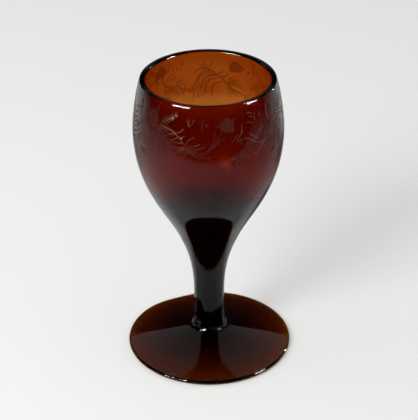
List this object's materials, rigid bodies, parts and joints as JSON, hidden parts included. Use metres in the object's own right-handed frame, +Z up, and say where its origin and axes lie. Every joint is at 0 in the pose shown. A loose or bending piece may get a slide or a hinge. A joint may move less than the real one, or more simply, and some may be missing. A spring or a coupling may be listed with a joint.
{
  "type": "stemmed glass",
  "caption": "Small stemmed wine glass of deep amber-red glass with an egg-shaped bowl, a waisted solid stem and a conical foot; the upper bowl carries a matt engraved floral festoon.",
  "frame": {"origin": "middle of the foot, on the surface the glass stands on", "axes": "+Z up along the stem through the middle of the rim; the flatter stretch of the foot's outline lies towards +Y and -X"},
  "size_m": [0.0656, 0.0654, 0.118],
  "materials": {
    "bowl_glass": "fire-polished, with a matt wheel-engraved festoon round the upper bowl",
    "stem_glass": "fire-polished, so thick that it looks black",
    "foot_glass": "fire-polished, resting ring lightly worn, ground hollow polished"
  },
  "bodies": {
    "root": {"bowl": "bowl_glass", "stem": "stem_glass", "foot": "foot_glass"}
  },
  "joints": []
}
